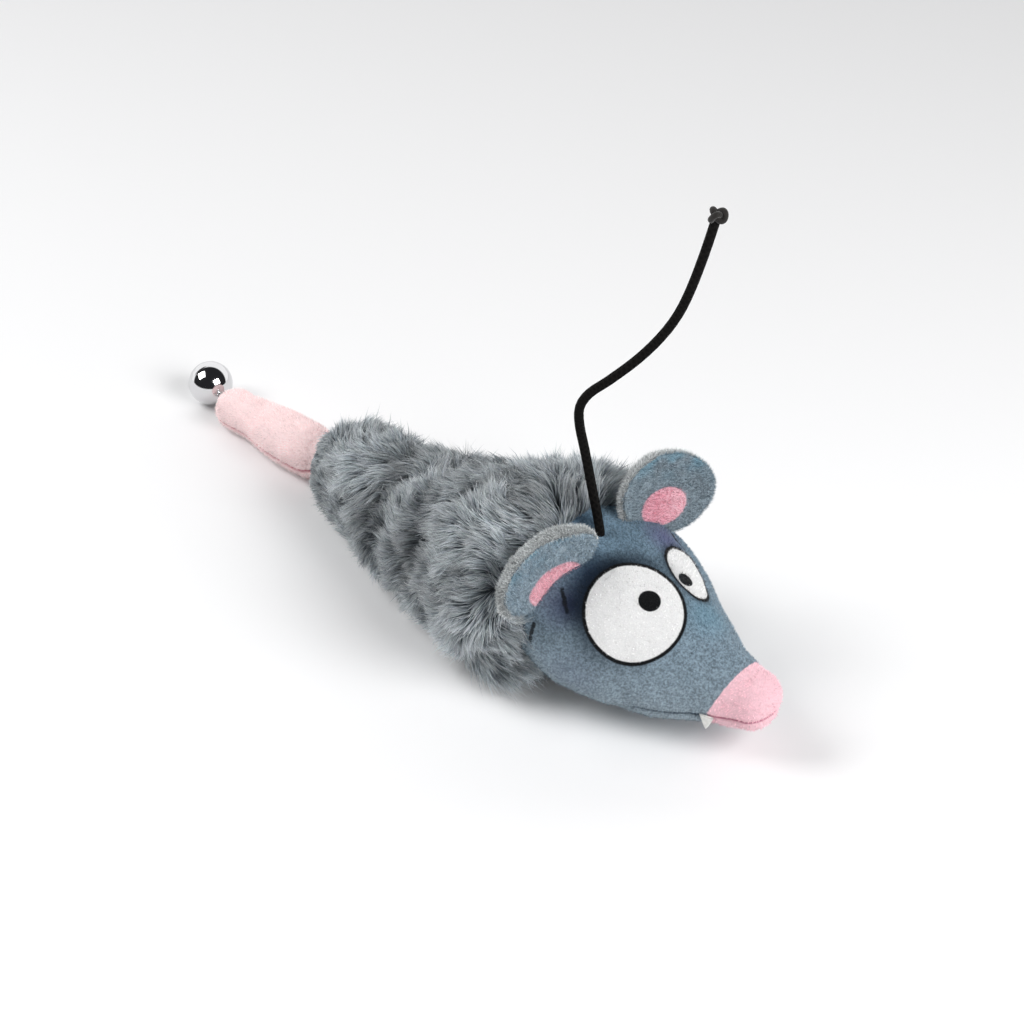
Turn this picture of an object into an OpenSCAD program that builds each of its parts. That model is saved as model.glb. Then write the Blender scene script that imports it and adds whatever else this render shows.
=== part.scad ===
// Plush rat toy on an elastic cord: long-pile fur body, short-pile head with two ears,
// stuffed fabric tail with a jingle bell, and a round elastic cord out of the crown.
// Millimetres. +X towards the nose, +Y to the rat's left, +Z up, standing on Z = 0.

/* [Body] */
// Width of the fur body where it meets the head
body_w = 74; // [70:1:80]
// Height of the fur body where it meets the head
body_h = 66; // [65:1:72]
// Thickness of the fur fabric with its pile pressed down
fur_t = 3.5; // [2.5:0.5:3.5]

/* [Head] */
// Width of the head between the ears
head_w = 66; // [62:1:68]
// Radius of the ball at the back of the head, inside the body
neck_r = 27; // [26:0.5:27]
// Thickness of the head's plush fabric
plush_t = 2; // [1.5:0.5:3]
// Length of the tooth below the mouth seam
tooth_l = 4; // [3:0.5:5]

/* [Ears] */
// Width of an ear
ear_w = 36; // [32:1:38]
// Height of an ear above its hinge line
ear_h = 24; // [20:1:26]
// Greatest thickness of an ear
ear_t = 6; // [5:0.5:7]

/* [Tail] */
// Widest width of the tail
tail_w = 19; // [16:1:20]
// Thickness of the tail's fabric
sleeve_t = 1.2; // [1:0.1:1.5]

/* [Bell] */
// Diameter of the bell
bell_d = 16; // [14:0.5:17]
// Thickness of the bell's metal
bell_t = 0.6; // [0.5:0.1:0.8]
// Diameter of the loose pellet in the bell
pellet_d = 4; // [3.5:0.5:5]
// Width of the bell's slots
bell_slot_w = 1.6; // [1:0.2:2]

/* [Cord] */
// Diameter of the elastic cord
cord_d = 3; // [2.5:0.5:3]

/* [Hidden] */

$fn = 64;
sides = 28;
gap = 0.5;

// Pivots: the neck ball, the tail's root ball and the stitch in the tail's tip
neck = [52, -4, 33.5];
tail_root = [-55, 9, 12.5];
tail_root_r = 9.5;
tip_pin = [-119, 11, 6.5];

// Body sections from tail to head: x, y, half width and half height as shares of the front's
body_keys = [
    [-57.5, 9, 0.39, 0.41],
    [-38, 5, 0.48, 0.52],
    [-10, -1, 0.61, 0.63],
    [20, -5, 0.79, 0.80],
    [42, -5, 0.95, 0.96],
    [54, -4, 1, 1]
];

// Head sections from neck to nose: x, y, widest height z, half width as a share, rise, drop
head_keys = [
    [66, -0.5, 31, 0.94, 27, 25],
    [78, 0.5, 27, 1, 28.5, 24],
    [90, 0.5, 24, 0.90, 27, 20.5],
    [100, 0.5, 22, 0.75, 24, 18],
    [110, 1, 20.5, 0.585, 20.5, 15.5],
    [120, 2, 19.5, 0.415, 16.5, 11.5],
    [130, 3.3, 19, 0.3, 13, 9.5],
    [134, 4, 19, 0.28, 11.5, 8.5]
];
nose_l = 6;

// Seam between the head's top panel and its chin gusset: its height at the neck and its slope
seam_z = 9.2;
seam_rise = 5.8;

// Tail sections from the body to the tip: x, y, half width as a share, height share of width
tail_keys = [
    [-65, 9.5, 0.68, 1],
    [-74, 9.5, 0.97, 0.93],
    [-88, 10.5, 1, 0.9],
    [-102, 12, 0.86, 0.9],
    [-114, 11.5, 0.74, 0.92]
];
tail_end_l = 7;

// Ears: the hinge line's middle, its direction outwards, and the ear's rise
right_base = [72.5, -20.5, 46];
right_w = [-10, -30, -20];
right_h = [0.5, -12.5, 20.8];
left_base = [76.5, 22, 48];
left_w = [8.8, 33, -9.8];
left_h = [-3, 8, 23];
ear_fold = 15;

// Middle of the tooth's top edge, in the mouth seam
tooth_at = [124.2, -8.4, 15.6];

bell_r = bell_d / 2;
bell_centre = [-132, 15, bell_r];
eyelet_r = 1.5;
loop_r = 2.8;
loop_wire = 0.8;
pin_d = 1;

// The cord's route, from the anchor knot inside the head to the end knot
cord_knot_r = 4;
cord_points = [
    [73.5, -2.5, 44], [73.5, -2.5, 50], [73, -2.5, 58], [70, -3, 72], [66.5, -2.7, 84],
    [64, -2.5, 92], [63.5, -2, 98], [65.5, 0, 103], [70, 4, 108], [76, 9.5, 115.5], [80.5, 14.5, 123],
    [84, 18, 131], [86.5, 20.5, 140], [89, 23, 152], [91.5, 25, 165]
];
cord_steps = 3;
knot_r = 3;

function unit(v) = v / norm(v);
function lerp(a, b, t) = a + (b - a) * t;

// Smooth curve through a list of keys (points or sections), with steps pieces between keys
function catmull(a, b, c, d, t) =
    0.5 * (2 * b + (c - a) * t + (2 * a - 5 * b + 4 * c - d) * t * t
        + (3 * b - a - 3 * c + d) * t * t * t);
function key_at(k, i) =
    i < 0 ? 2 * k[0] - k[1] : i >= len(k) ? 2 * k[len(k) - 1] - k[len(k) - 2] : k[i];
function smooth(k, steps) = concat(
    [for (i = [0:len(k) - 2], s = [0:steps - 1])
        catmull(key_at(k, i - 1), k[i], k[i + 1], key_at(k, i + 2), s / steps)],
    [k[len(k) - 1]]);

// One ring of points in a plane of constant x: half width w, up above z, down below z,
// never lower than floor_z
function ring(x, y, z, w, up, down, floor_z) = [
    for (i = [0:sides - 1])
        let (a = 360 * i / sides, r = sin(a))
        [x, y + w * cos(a), max(floor_z, z + (r > 0 ? up : down) * r)]
];

// Faces between two rings of n points that start at indices a and b
function strip(a, b, n) = [
    for (i = [0:n - 1])
        let (k = (i + 1) % n)
        each [[a + i, b + k, a + k], [a + i, b + i, b + k]]
];
function flat(lists) = [for (l = lists, x = l) x];
function backwards(l) = [for (i = [len(l) - 1:-1:0]) l[i]];

// Skin over rings that all have the same number of points, with a flat cap at each end
module loft(rings) {
    n = len(rings[0]);
    m = len(rings);
    skin = flat([for (j = [0:m - 2]) strip(j * n, j * n + n, n)]);
    first = [for (i = [0:n - 1]) i];
    last = [for (i = [n - 1:-1:0]) (m - 1) * n + i];
    polyhedron(flat(rings), concat([first], skin, [last]), convexity = 4);
}

// Fabric between an outer and an inner skin, open at the first ring and closed at the last
module cup(outer, inner) {
    n = len(outer[0]);
    m = len(outer);
    k = len(inner);
    far = [for (i = [n - 1:-1:0]) (m - 1) * n + i];
    near = [for (i = [0:n - 1]) (m + k - 1) * n + i];
    polyhedron(flat(concat(outer, inner)), concat(
        flat([for (j = [0:m - 2]) strip(j * n, j * n + n, n)]),
        flat([for (j = [m:m + k - 2]) [for (f = strip(j * n, j * n + n, n)) backwards(f)]]),
        strip(m * n, 0, n),
        [far, near]
    ), convexity = 6);
}

function body_ring(k, inset) =
    let (w = k[2] * body_w / 2, h = k[3] * body_h / 2)
    ring(k[0], k[1], h - 1, w - inset, h - inset, h - inset, inset);

// Rings of the body, tail end first: inset 0 is the fur's outside, fur_t the stuffing
function body_rings(inset) = [
    for (k = smooth(body_keys, 3)) body_ring(
        [lerp(k[0], -6, inset / 60), k[1], k[2], k[3]], inset)
];

// Ball socket for the head, opening out at its mouth so that the head can nod
module neck_socket() {
    translate(neck) sphere(neck_r + gap);
    translate(neck - [4, 0, 0]) rotate([0, 90, 0])
        cylinder(h = 8, r1 = neck_r + 0.2, r2 = neck_r + 3);
}

module tail_socket() {
    translate(tail_root) sphere(tail_root_r + gap);
}

// Rings over the back of a ball, starting at its pole; dir is 1 or -1 along X
function ball_rings(c, r, from, to, steps, dir) = [
    for (s = [0:steps])
        let (t = lerp(from, to, s / steps), q = max(0.3, r * cos(t)))
        ring(c[0] + dir * r * sin(t), c[1], c[2], q, q, q, -99)
];

// Rounded end beyond the last section of a loft
function end_rings(k, len, steps, inset, dir) = [
    for (s = [1:steps])
        let (t = 90 * s / steps, q = max(0.04, cos(t)))
        ring(k[0] + dir * (len - inset) * sin(t), k[1], k[2], (k[3] - inset) * q,
            (k[4] - inset) * q, (k[5] - inset) * q, -99)
];

function head_sections() = [
    for (k = smooth(head_keys, 2)) [k[0], k[1], k[2], k[3] * head_w / 2, k[4], k[5]]
];

// Rings of the head, neck first: inset 0 is the plush's outside, plush_t the stuffing
function head_rings(inset) =
    let (k = head_sections())
    concat(
        ball_rings(neck, neck_r - inset, -80, 12, 8, 1),
        [for (s = k) ring(s[0], s[1], s[2], s[3] - inset, s[4] - inset, s[5] - inset, -99)],
        end_rings(k[len(k) - 1], nose_l, 5, inset, 1)
    );

// Room on one side of the seam between top panel and chin gusset, which rises to the nose
module seam_side(above) {
    translate([60, 0, seam_z]) rotate([0, -seam_rise, 0])
        translate([-60, -60, above ? 0 : -60]) cube([160, 120, 60]);
}

// Places a child built along X (outwards), Z (up) and -Y (the ear's front) on a hinge line
module on_hinge(base, w, h, side) {
    u = unit(w) * side;
    n = unit(cross(w, h)) * side;
    v = cross(n, u);
    multmatrix([
        [u[0], -n[0], v[0], base[0]],
        [u[1], -n[1], v[1], base[1]],
        [u[2], -n[2], v[2], base[2]],
        [0, 0, 0, 1]
    ]) children();
}

module ear_form() {
    b = (ear_h + 3) / 2;
    translate([0, 0, b - 3]) scale([ear_w / 2 / b, ear_t / 2 / b, 1]) sphere(b);
}

module ear_half(front) {
    intersection() {
        ear_form();
        translate([-50, front ? -50 : 0, -50]) cube([100, 50, 100]);
    }
}

// Room for an ear's root in the head, opening upwards for the ear's travel
module ear_groove(base, w, h, side) {
    r = ear_t / 2 + gap;
    open = r + 9 * tan(ear_fold);
    on_hinge(base, w, h, side) hull() {
        translate([-12, 0, 0]) rotate([0, 90, 0]) cylinder(h = 24, r = r, $fn = 32);
        translate([-ear_w / 2 - gap, -open, 9]) cube([ear_w + 2 * gap, 2 * open, 1]);
    }
}

module ear_grooves() {
    ear_groove(right_base, right_w, right_h, -1);
    ear_groove(left_base, left_w, left_h, 1);
}

function tail_sections() = [
    for (k = smooth(tail_keys, 2))
        let (w = k[2] * tail_w / 2, h = w * k[3])
        [k[0], k[1], k[0] > -66 ? tail_root[2] - 1.5 : h, w, h, h]
];

// Rings of the tail, root first: inset 0 is the sleeve's outside, sleeve_t the stuffing
function tail_rings(inset) =
    let (k = tail_sections())
    [for (r = concat(
        ball_rings(tail_root, tail_root_r - inset, -80, 45, 7, -1),
        [for (s = k) ring(s[0], s[1], s[2], s[3] - inset, s[4] - inset, s[5] - inset, -99)],
        end_rings(k[len(k) - 1], tail_end_l, 4, inset, -1)
    )) backwards(r)];

// Slot in the tail's tip for the bell's loop, round about the stitch
module tip_slot() {
    translate([tip_pin[0], tip_pin[1], tip_pin[2] - 1]) cylinder(h = 2, r = 5.1);
    translate([tip_pin[0] - 8, tip_pin[1] - 8, tip_pin[2] - 1]) cube([8, 16, 2]);
}

// Cross section of the cord at a point, square to the route
function cord_ring(p, dir, r) =
    let (a = unit(cross(dir, [0.3, 1, 0.2])), b = cross(unit(dir), a))
    [for (i = [0:7]) p + r * (cos(45 * i) * a + sin(45 * i) * b)];

module cord_tube(route, r) {
    n = len(route);
    loft([for (i = [0:n - 1])
        cord_ring(route[i], route[min(n - 1, i + 1)] - route[max(0, i - 1)], r)]);
}

module body_cover() {
    color("slategray") difference() {
        cup(body_rings(0), body_rings(fur_t));
        neck_socket();
        tail_socket();
    }
}

module body_stuffing() {
    color("white") difference() {
        loft(body_rings(fur_t));
        neck_socket();
        tail_socket();
    }
}

module head_top() {
    color("lightslategray") difference() {
        cup(head_rings(0), head_rings(plush_t));
        seam_side(false);
        ear_grooves();
        translate([cord_points[0][0], cord_points[0][1], cord_points[0][2]])
            cylinder(h = 30, r = cord_d / 2 + 0.1);
    }
}

module head_chin() {
    color("lightslategray") difference() {
        cup(head_rings(0), head_rings(plush_t));
        seam_side(true);
    }
}

module head_stuffing() {
    color("white") difference() {
        loft(head_rings(plush_t));
        ear_grooves();
        translate(cord_points[0] - [0, 0, cord_knot_r]) sphere(cord_knot_r, $fn = 32);
        translate(cord_points[0] - [0, 0, 0.1]) cylinder(h = 30, r = cord_d / 2 + 0.1);
    }
}

module tooth() {
    color("white") translate(tooth_at) rotate([0, 0, 15]) rotate([90, 0, 0])
        linear_extrude(1) polygon([[-2.2, 0.8], [0, -tooth_l], [2.2, 0.8]]);
}

module ear_right_front() {
    color("lightslategray") on_hinge(right_base, right_w, right_h, -1) ear_half(true);
}

module ear_right_back() {
    color("darkgray") on_hinge(right_base, right_w, right_h, -1) ear_half(false);
}

module ear_left_front() {
    color("lightslategray") on_hinge(left_base, left_w, left_h, 1) ear_half(true);
}

module ear_left_back() {
    color("darkgray") on_hinge(left_base, left_w, left_h, 1) ear_half(false);
}

module tail_cover() {
    color("pink") difference() {
        cup(tail_rings(0), tail_rings(sleeve_t));
        tip_slot();
        translate([tip_pin[0], tip_pin[1], 0]) cylinder(h = 20, r = pin_d / 2);
    }
}

module tail_stuffing() {
    color("white") difference() {
        loft(tail_rings(sleeve_t));
        tip_slot();
        translate([tip_pin[0], tip_pin[1], 0]) cylinder(h = 20, r = pin_d / 2);
    }
}

module tail_stitch() {
    color("white") translate([tip_pin[0], tip_pin[1], tip_pin[2] - 5])
        cylinder(h = 10, r = pin_d / 2);
}

module bell_loop() {
    color("white") translate(tip_pin) rotate([0, 0, 160]) translate([loop_r - 1.1, 0, 0])
        rotate_extrude() translate([loop_r, 0]) circle(loop_wire / 2, $fn = 24);
}

module bell_shell() {
    color("silver") difference() {
        translate(bell_centre) sphere(bell_r);
        translate(bell_centre) sphere(bell_r - bell_t);
        translate(bell_centre) rotate([0, 0, 160]) for (a = [45, 135]) rotate([a, 0, 0])
            translate([0, -bell_slot_w / 2, -bell_r * 0.8])
                cube([bell_r * 2, bell_slot_w, bell_r * 1.6]);
    }
}

module bell_eyelet() {
    color("silver") translate(bell_centre) rotate([0, 0, 160 + 180]) rotate([0, 90, 0])
        translate([0, 0, bell_r]) cylinder(h = 1, r = eyelet_r);
}

module bell_pellet() {
    color("silver") translate(bell_centre - [0, 0, bell_r - bell_t - pellet_d / 2 - 0.2])
        sphere(pellet_d / 2, $fn = 48);
}

module cord() {
    color("black") cord_tube(smooth(cord_points, cord_steps), cord_d / 2);
}

module cord_stitches() {
    color("white") translate([73.5, -2.5, 56.6]) rotate_extrude()
        translate([cord_d / 2 + 0.5, 0]) circle(0.4, $fn = 24);
}

module cord_anchor_knot() {
    color("black") translate(cord_points[0] - [0, 0, cord_knot_r])
        sphere(cord_knot_r, $fn = 32);
}

module cord_end_knot() {
    end = cord_points[len(cord_points) - 1];
    color("black") translate(end) sphere(knot_r, $fn = 32);
}

body_cover();
body_stuffing();
head_top();
head_chin();
head_stuffing();
tooth();
ear_right_front();
ear_right_back();
ear_left_front();
ear_left_back();
tail_cover();
tail_stuffing();
tail_stitch();
bell_loop();
bell_shell();
bell_eyelet();
bell_pellet();
cord();
cord_stitches();
cord_anchor_knot();
cord_end_knot();
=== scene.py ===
"""Looks of the plush rat toy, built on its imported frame.

Shapes and prints are worked out in millimetres, +X nose, +Y the rat's left, +Z up, and turned into metres
when a mesh is made. Every mesh keeps its own place at rest as the attribute "rest", also in millimetres.
"""

import math

import bmesh
import bpy
import numpy as np
from mathutils import Matrix, Vector
from mathutils.kdtree import KDTree


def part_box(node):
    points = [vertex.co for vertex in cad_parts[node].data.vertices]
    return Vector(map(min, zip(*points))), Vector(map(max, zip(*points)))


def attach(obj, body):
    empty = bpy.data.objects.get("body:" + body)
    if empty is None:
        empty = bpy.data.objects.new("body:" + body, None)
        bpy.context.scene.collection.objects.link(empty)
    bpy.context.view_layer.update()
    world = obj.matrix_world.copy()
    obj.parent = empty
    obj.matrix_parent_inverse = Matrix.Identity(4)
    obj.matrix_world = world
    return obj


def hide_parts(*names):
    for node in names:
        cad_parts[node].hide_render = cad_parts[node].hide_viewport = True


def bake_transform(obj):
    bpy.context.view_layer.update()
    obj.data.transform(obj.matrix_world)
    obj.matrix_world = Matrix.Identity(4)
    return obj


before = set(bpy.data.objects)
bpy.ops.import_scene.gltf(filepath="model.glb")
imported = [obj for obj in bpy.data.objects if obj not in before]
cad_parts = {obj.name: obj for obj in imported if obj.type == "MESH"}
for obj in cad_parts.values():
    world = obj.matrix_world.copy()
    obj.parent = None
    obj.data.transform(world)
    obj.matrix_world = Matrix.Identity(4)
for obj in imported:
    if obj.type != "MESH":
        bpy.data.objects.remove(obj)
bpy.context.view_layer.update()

MM = 0.001
THIN = 1
UP = np.array([0, 0, 1.0])


def mm(node):
    """A CAD node's lowest and highest corners in millimetres."""
    low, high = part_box(node)
    return np.array(low) / MM, np.array(high) / MM


def middle_of(node):
    return sum(mm(node)) / 2


def circle(count):
    """Angles evenly round a full turn."""
    return np.linspace(0, math.tau, count, endpoint=False)


def ramp(v, start, stop):
    """0 at start and 1 at stop, straight between."""
    return np.clip((v - start) / (stop - start), 0, 1)


def unit(v):
    v = np.asarray(v, float)
    return v / np.maximum(np.linalg.norm(v, axis=-1, keepdims=True), 1e-9)


def srgb(code):
    """A linear colour with alpha from a #rrggbb code."""
    c = np.array([int(code[i : i + 2], 16) for i in (1, 3, 5)]) / 255
    c = np.where(c <= 0.04045, c / 12.92, ((c + 0.055) / 1.055) ** 2.4)
    return (*c.tolist(), 1.0)


# ---- camera, cord route, stage and light

CAMERA_AT = (589.78, -571.49, 621.82)
CAMERA_TO = (25.03, 8.19, 34.14)
TO_CAMERA = (0.565, -0.58, 0.588)
SOFTBOXES = (
    ("softbox_left", (-0.49, -0.46, 0.74), (0.62, 0.62), 8.5),
    ("softbox_right", (0.81, 0.0, 0.59), (0.66, 0.55), 11.0),
)


def add_object(name, data):
    """A new object in the scene."""
    added = bpy.data.objects.new(name, data)
    bpy.context.scene.collection.objects.link(added)
    return added


def discard(piece):
    data = piece.data
    bpy.data.objects.remove(piece)
    bpy.data.meshes.remove(data)


def add_node(tree, kind, inputs, out=0, **options):
    """A shader node with its inputs set or linked. Gives back one of its outputs."""
    n = tree.nodes.new("ShaderNode" + kind)
    for key, value in options.items():
        setattr(n, key, value)
    for key, value in inputs.items():
        if isinstance(value, bpy.types.NodeSocket):
            tree.links.new(value, n.inputs[key])
        else:
            n.inputs[key].default_value = value
    return n.outputs[out]


def aim(thing, at, to):
    thing.location = at
    thing.rotation_euler = (Vector(to) - Vector(at)).to_track_quat("-Z", "Y").to_euler()


def make_camera():
    data = bpy.data.cameras.new("camera")
    data.lens, data.sensor_width = 108.98, 36
    data.clip_start, data.clip_end = 0.01, 20
    camera = add_object("camera", data)
    aim(camera, Vector(CAMERA_AT) * MM, Vector(CAMERA_TO) * MM)
    bpy.context.scene.camera = camera


def make_studio():
    scene = bpy.context.scene
    scene.view_settings.view_transform = "Standard"
    scene.view_settings.look = "None"
    scene.world = bpy.data.worlds.new("studio")
    scene.world.use_nodes = True
    tree = scene.world.node_tree
    back = tree.nodes["Background"]
    # white behind and below, dark above the floor on the camera's side, as the chrome shows
    way = add_node(tree, "TexCoord", {}, "Generated")
    height = add_node(tree, "SeparateXYZ", {0: way}, "Z")
    toward = add_node(tree, "VectorMath", {0: way, 1: TO_CAMERA}, "Value", operation="DOT_PRODUCT")
    edges = {}
    for k, (source, low, high) in enumerate(((height, 0.0, 0.04), (toward, -0.06, 0.02))):
        inputs = {"Value": source, "From Min": low, "From Max": high}
        edges[k] = add_node(tree, "MapRange", inputs)
    dark = add_node(tree, "Math", edges, operation="MULTIPLY")
    sky = tree.nodes.new("ShaderNodeValToRGB")
    sky.color_ramp.elements[0].color = (1, 1, 1, 1)
    sky.color_ramp.elements[1].color = (0.02, 0.02, 0.022, 1)
    tree.links.new(dark, sky.inputs[0])
    tree.links.new(sky.outputs[0], back.inputs["Color"])
    back.inputs["Strength"].default_value = 1.22
    for name, way, size, power in SOFTBOXES:
        data = bpy.data.lights.new(name, "AREA")
        data.shape, data.size, data.size_y = "RECTANGLE", size[0], size[1]
        data.energy = power
        aim(add_object(name, data), Vector(way) * 1.15, (0, 0, 0.02))

    mesh = bpy.data.meshes.new("floor")
    s = 3.0
    mesh.from_pydata([(-s, -s, 0), (s, -s, 0), (s, s, 0), (-s, s, 0)], [], [(0, 1, 2, 3)])
    paper = bpy.data.materials.new("white_paper")
    paper.use_nodes = True
    shader = paper.node_tree.nodes["Principled BSDF"]
    shader.inputs["Base Color"].default_value = (0.86, 0.86, 0.865, 1)
    shader.inputs["Roughness"].default_value = 0.9
    shader.inputs["Emission Color"].default_value = (1, 1, 1, 1)
    shader.inputs["Emission Strength"].default_value = 0.04
    mesh.materials.append(paper)
    add_object("floor", mesh)


make_camera()
make_studio()

# ---- materials written as expressions


class Graph:
    """One material: a Principled shader whose colour and bump come from small node expressions."""

    def __init__(self, name, **values):
        self.material = bpy.data.materials.new(name)
        self.material.use_nodes = True
        self.tree = self.material.node_tree
        self.shader = self.tree.nodes["Principled BSDF"]
        for socket, value in values.items():
            self.shader.inputs[socket.replace("_", " ")].default_value = value

    def node(self, kind, inputs, out=0, **options):
        return add_node(self.tree, kind, inputs, out, **options)

    def math(self, op, a, b=0.0, clamp=False):
        return self.node("Math", {0: a, 1: b}, operation=op, use_clamp=clamp)

    def add(self, a, b, clamp=False):
        return self.math("ADD", a, b, clamp)

    def mul(self, a, b):
        return self.math("MULTIPLY", a, b)

    def radius(self, x, y):
        return self.math("SQRT", self.add(self.mul(x, x), self.mul(y, y)))

    def vector(self, op, a, b):
        out = 1 if op in ("DOT_PRODUCT", "LENGTH", "DISTANCE") else 0
        return self.node("VectorMath", {0: a, 1: b}, out, operation=op)

    def value(self, name, out=2):
        return self.node("Attribute", {}, out, attribute_name=name)

    def place(self):
        return self.value("rest", 1)

    def noise(self, p, size, detail=2.0, rough=0.5, squeeze=(1, 1, 1)):
        """Noise whose blotches are about size millimetres across."""
        p = self.vector("MULTIPLY", p, squeeze)
        inputs = {"Vector": p, "Scale": 1 / size, "Detail": detail, "Roughness": rough}
        return self.node("TexNoise", inputs)

    def inside(self, d, low, high):
        """1 where d is below low, 0 above high, smooth between."""
        inputs = {"Value": d, "From Min": low, "From Max": high, "To Min": 1.0, "To Max": 0.0}
        return self.node("MapRange", inputs, interpolation_type="SMOOTHSTEP")

    def mix(self, share, a, b):
        return self.node("Mix", {0: share, 6: a, 7: b}, 2, data_type="RGBA")

    def scale(self, colour, factor):
        inputs = {0: 1.0, 6: colour, 7: factor}
        return self.node("Mix", inputs, 2, data_type="RGBA", blend_type="MULTIPLY")

    def near(self, p, centre):
        return self.vector("DISTANCE", p, tuple(centre))

    def along(self, p, centre, axis, size=1.0):
        """How far p lies from centre along axis, in units of size."""
        axis = tuple(unit(axis) / size)
        return self.vector("DOT_PRODUCT", self.vector("SUBTRACT", p, tuple(centre)), axis)

    def stroke(self, p, a, b):
        """Distance from p to the line from a to b."""
        a, b = np.array(a, float), np.array(b, float)
        t = self.along(p, a, b - a, np.linalg.norm(b - a))
        t = self.add(t, 0.0, clamp=True)
        scaled = self.node("VectorMath", {0: tuple(b - a), "Scale": t}, operation="SCALE")
        return self.vector("DISTANCE", p, self.vector("ADD", scaled, tuple(a)))

    def finish(self, colour=None, height=None, depth=0.1, rough=None):
        """Plugs in the colour and a bump of depth millimetres."""
        if colour is not None:
            self.tree.links.new(colour, self.shader.inputs["Base Color"])
        if rough is not None:
            self.tree.links.new(rough, self.shader.inputs["Roughness"])
        if height is not None:
            inputs = {"Height": height, "Distance": depth * MM, "Strength": 1.0}
            bump = self.node("Bump", inputs)
            self.tree.links.new(bump, self.shader.inputs["Normal"])
        return self.material


SEAM_AT = np.array([60.0, 0, 9.2])
SEAM_SLOPE = math.tan(math.radians(5.8))
SEAM_NORMAL = unit([-SEAM_SLOPE, 0, 1])

NEAR_EYE = np.array([96.1, -11.3, 42.2])
NEAR_N = unit([0.465, -0.429, 0.775])
NEAR_R = 15.8
NEAR_PUPIL = (98.2, -6.8, 45.8)
FAR_EYE = np.array([96.5, 12.8, 44.05])
FAR_LONG = np.array([0.879, -0.360, -0.312])
FAR_SHORT = np.array([-0.149, -0.830, 0.537])
FAR_PUPIL = (98.5, 9.4, 45.1)
EYE_RIGHT = np.array([0.72, 0.69, 0.0])

STEEL = srgb("#96a5af")
SLATE = srgb("#6b8496")
NAVY = srgb("#14202e")
VIOLET = srgb("#62628a")
TEAL = srgb("#5fa0b8")
WHITE = srgb("#eeeeee")
INK = srgb("#0b0d10")
PINK = srgb("#f0c7d0")
PLUSH = dict(Roughness=0.9, Sheen_Weight=0.12, Sheen_Roughness=0.45, Specular_IOR_Level=0.15)


def pile(g, p, size):
    """Height of a short pressed pile."""
    fine = g.noise(p, size, 3, 0.65)
    broad = g.noise(p, size * 7, 2)
    return g.add(fine, g.mul(broad, 1.2))


def mottled(g, p, dark, light, fine=0.9, broad=7.0):
    """Two tones of one dye: fibre by fibre, and a little in broad patches."""
    grain = g.inside(g.noise(p, fine, 3, 0.65), 0.64, 0.36)
    patches = g.noise(p, broad, 2)
    share = g.add(g.mul(grain, 0.75), g.mul(patches, 0.3), clamp=True)
    return g.mix(share, dark, light)


def shade(colour, factor):
    return (*(c * factor for c in colour[:3]), 1.0)


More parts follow.
